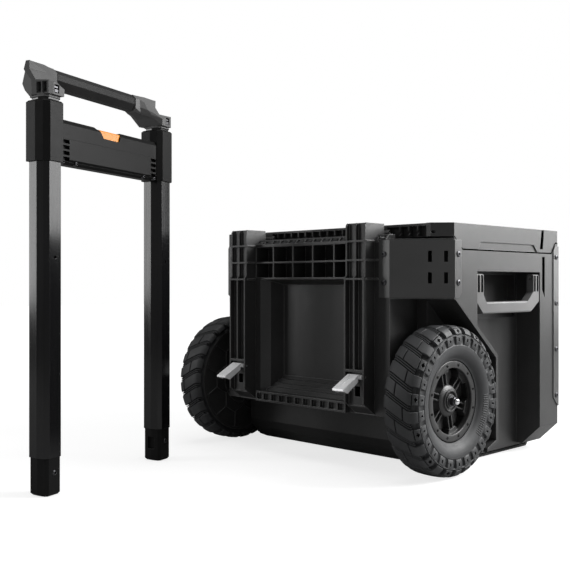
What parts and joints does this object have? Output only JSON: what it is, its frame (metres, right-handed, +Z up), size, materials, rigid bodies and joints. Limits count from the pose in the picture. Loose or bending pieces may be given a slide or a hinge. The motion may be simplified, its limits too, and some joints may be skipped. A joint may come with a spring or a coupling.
{
  "type": "rolling tool box",
  "caption": "Wheeled lidded tool box with spoked all-terrain wheels, side bail handles, rear handle sockets with release levers, and its telescopic pull handle standing beside it.",
  "frame": {"origin": "on the floor, under the middle of the box's footprint, on the flat underside of the tub", "axes": "+X across the box to its right side, +Y from the handle sockets to the latches, +Z up"},
  "size_m": [0.536, 0.8463, 0.599],
  "materials": {
    "black_plastic": "fine moulded texture",
    "frame_plastic": "fine moulded texture",
    "painted_sheet": "satin black powder coat",
    "dark_fastener": "black oxide",
    "steel": "drawn bar",
    "bright_steel": "bright plated",
    "silver_metal": "cast, satin",
    "seal_rubber": "soft matt",
    "tyre": "matt moulded rubber",
    "wheel_plastic": "moulded",
    "bush_plastic": "smooth",
    "gloss_tube": "gloss black anodised",
    "handle_plastic": "satin moulded",
    "grip_rubber": "soft-touch",
    "orange_plastic": "glossy orange"
  },
  "bodies": {
    "box": {"tub": "black_plastic", "rear_frame": "frame_plastic", "handle_socket_left": "frame_plastic", "handle_socket_right": "frame_plastic", "dock_tray": "frame_plastic", "lid_hinge_pins": "steel", "rear_bracket_left": "painted_sheet", "rear_bracket_right": "painted_sheet", "front_strip_left": "painted_sheet", "front_strip_right": "painted_sheet", "bracket_screws": "dark_fastener", "side_handle_pins": "steel", "lever_pins": "steel", "latch_catches": "black_plastic", "axle": "steel", "axle_spacers": "black_plastic", "axle_nuts": "bright_steel"},
    "lid": {"lid": "black_plastic", "lid_seal": "seal_rubber", "latch_pins": "steel"},
    "latch_left": {"latch_left": "frame_plastic"},
    "latch_right": {"latch_right": "frame_plastic"},
    "side_handle_left": {"side_handle_left": "black_plastic"},
    "side_handle_right": {"side_handle_right": "black_plastic"},
    "release_lever_left": {"release_lever_left": "silver_metal"},
    "release_lever_right": {"release_lever_right": "silver_metal"},
    "wheel_left": {"tyre_left": "tyre", "rim_left": "wheel_plastic", "bead_ring_left": "wheel_plastic", "ring_bolts_left": "dark_fastener", "wheel_bush_left": "bush_plastic"},
    "wheel_right": {"tyre_right": "tyre", "rim_right": "wheel_plastic", "bead_ring_right": "wheel_plastic", "ring_bolts_right": "dark_fastener", "wheel_bush_right": "bush_plastic"},
    "handle": {"leg_tube_near": "gloss_tube", "leg_tube_far": "gloss_tube", "foot_plug_near": "handle_plastic", "foot_plug_far": "handle_plastic", "foot_rivet_near": "dark_fastener", "foot_rivet_far": "dark_fastener", "crossbar_housing": "handle_plastic", "crossbar_cover": "handle_plastic", "cover_screws": "dark_fastener"},
    "grip": {"inner_tube_near": "gloss_tube", "inner_tube_far": "gloss_tube", "end_bracket_near": "handle_plastic", "end_bracket_far": "handle_plastic", "grip_bar": "grip_rubber"},
    "release_button": {"release_button": "orange_plastic"}
  },
  "joints": [
    {"name": "lid_hinge", "type": "hinge", "parent": "box", "child": "lid", "pos_m": [0, -0.178, 0.369], "axis": [1, 0, 0], "range_deg": [0, 95]},
    {"name": "latch_left_swing", "type": "hinge", "parent": "lid", "child": "latch_left", "pos_m": [-0.15, 0.16285, 0.372], "axis": [1, 0, 0], "range_deg": [0, 110]},
    {"name": "latch_right_swing", "type": "hinge", "parent": "lid", "child": "latch_right", "pos_m": [0.15, 0.16285, 0.372], "axis": [1, 0, 0], "range_deg": [0, 110]},
    {"name": "side_handle_left_swing", "type": "hinge", "parent": "box", "child": "side_handle_left", "pos_m": [-0.2495, 0, 0.3], "axis": [0, 1, 0], "range_deg": [0, 85]},
    {"name": "side_handle_right_swing", "type": "hinge", "parent": "box", "child": "side_handle_right", "pos_m": [0.2495, 0, 0.3], "axis": [0, -1, 0], "range_deg": [0, 85]},
    {"name": "release_lever_left_tip", "type": "hinge", "parent": "box", "child": "release_lever_left", "pos_m": [-0.134, -0.24225, 0.148], "axis": [-1, 0, 0], "range_deg": [0, 25], "stiffness_Nm_per_rad": 0.2, "springref_deg": -8.59},
    {"name": "release_lever_right_tip", "type": "hinge", "parent": "box", "child": "release_lever_right", "pos_m": [0.134, -0.24225, 0.148], "axis": [-1, 0, 0], "range_deg": [0, 25], "stiffness_Nm_per_rad": 0.2, "springref_deg": -8.59},
    {"name": "wheel_left_spin", "type": "hinge", "parent": "box", "child": "wheel_left", "pos_m": [-0.23875, -0.16125, 0.1143], "axis": [1, 0, 0], "continuous": true},
    {"name": "wheel_right_spin", "type": "hinge", "parent": "box", "child": "wheel_right", "pos_m": [0.23875, -0.16125, 0.1143], "axis": [1, 0, 0], "continuous": true},
    {"name": "handle_lift", "type": "slide", "parent": "box", "child": "handle", "axis": [0, 0, 1], "range_m": [0, 0.45]},
    {"name": "grip_slide", "type": "slide", "parent": "handle", "child": "grip", "axis": [0, 0, 1], "range_m": [0, 0.33]},
    {"name": "button_press", "type": "slide", "parent": "handle", "child": "release_button", "axis": [0, 0, -1], "range_m": [0, 0.004], "stiffness_N_per_m": 400, "springref_m": -0.004}
  ]
}
